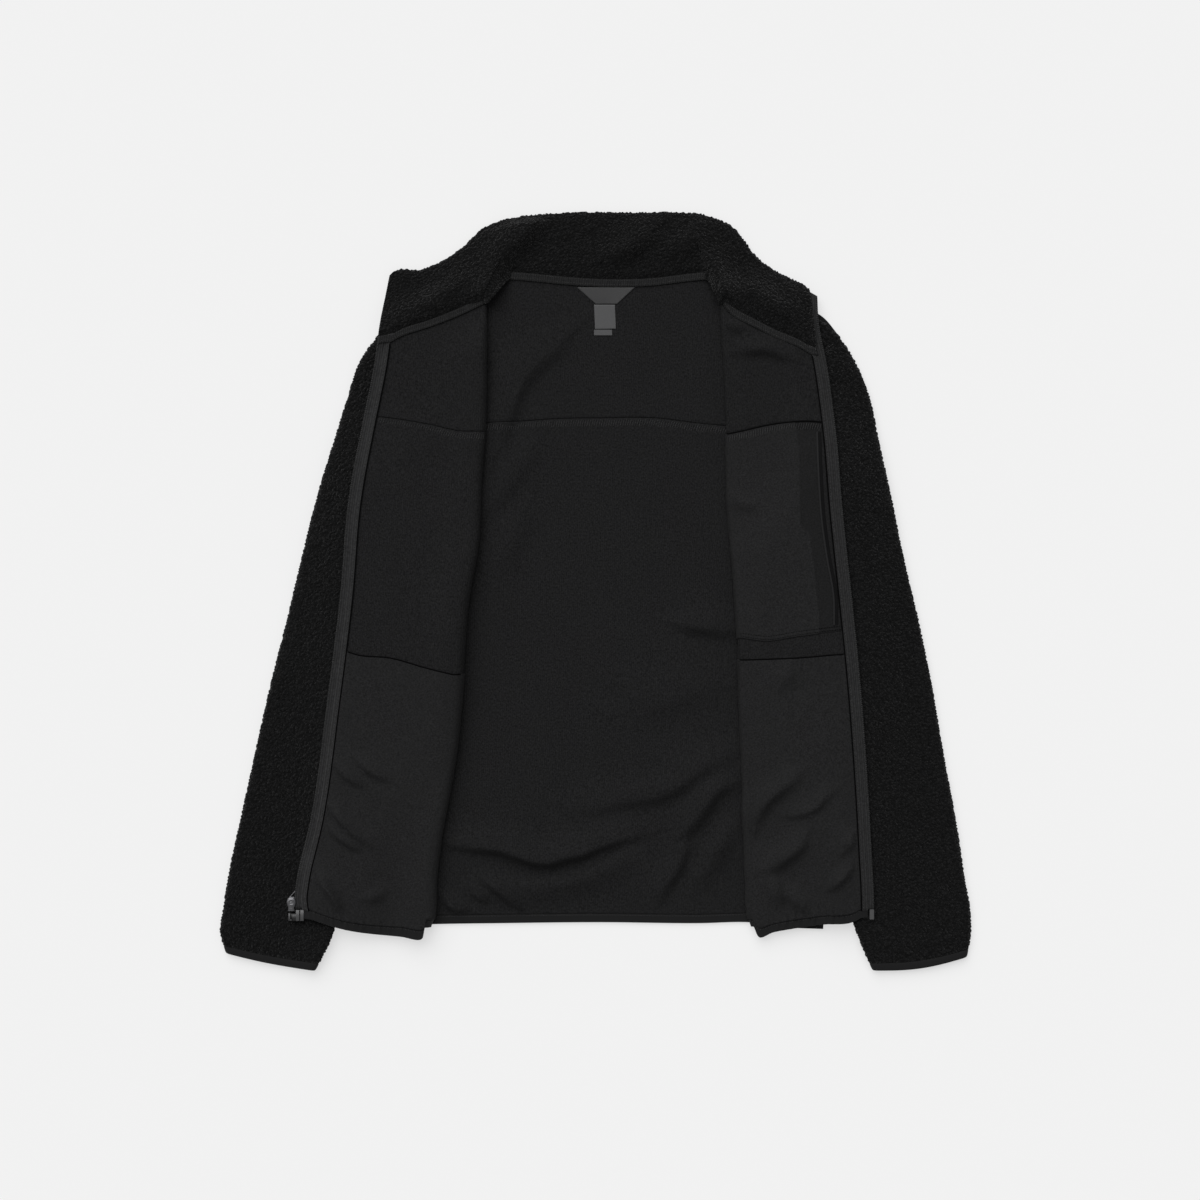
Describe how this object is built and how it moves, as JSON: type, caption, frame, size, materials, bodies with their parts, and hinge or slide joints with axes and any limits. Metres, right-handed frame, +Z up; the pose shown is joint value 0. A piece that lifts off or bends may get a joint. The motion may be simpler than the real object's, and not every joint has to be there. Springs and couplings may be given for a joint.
{
  "type": "sherpa fleece jacket",
  "caption": "Zip-front sherpa fleece jacket with a stand collar, opened out and laid flat on its back with both fronts folded outward, showing its inside.",
  "frame": {"origin": "centre of the laid jacket's bounding box, on the surface that it lies on", "axes": "+X across the jacket to the right as seen from above, +Y toward the collar, +Z up"},
  "size_m": [0.7869, 0.7946, 0.0251],
  "materials": {
    "fleece_inside": "smooth bonded fleece with a faint vertical knit",
    "sherpa": "curly high-pile sherpa",
    "elastic_binding": "matte knitted elastic",
    "woven_pocketing": "fine plain-weave pocketing",
    "ribbed_tape": "ribbed woven tape",
    "label_satin": "satin label, bare",
    "gunmetal": "dark gunmetal plating",
    "black_plastic": "moulded black plastic"
  },
  "bodies": {
    "jacket": {"back_body": "fleece_inside", "back_yoke": "fleece_inside", "collar": "sherpa", "cuff_left": "elastic_binding", "cuff_right": "elastic_binding", "front_body_left": "fleece_inside", "front_body_right": "fleece_inside", "front_yoke_left": "fleece_inside", "front_yoke_right": "fleece_inside", "hem_binding_back": "elastic_binding", "hem_binding_left": "elastic_binding", "hem_binding_right": "elastic_binding", "insertion_pin": "black_plastic", "label_care": "label_satin", "label_main": "label_satin", "label_size": "label_satin", "neck_tape": "ribbed_tape", "pocket_bag_chest": "woven_pocketing", "pocket_bag_lower_left": "woven_pocketing", "pocket_bag_lower_right": "woven_pocketing", "retainer_box": "black_plastic", "sleeve_left": "sherpa", "sleeve_right": "sherpa", "zip_facing_left": "ribbed_tape", "zip_facing_right": "ribbed_tape", "zip_slider": "gunmetal", "zip_tape_left": "ribbed_tape", "zip_tape_right": "ribbed_tape"},
    "pull_tab": {"pull_tab": "gunmetal"}
  },
  "joints": [
    {"name": "tab_swivel", "type": "hinge", "parent": "jacket", "child": "pull_tab", "pos_m": [-0.318, -0.321, 0.01186], "axis": [0, 0, 1], "range_deg": [-10, 60]}
  ]
}
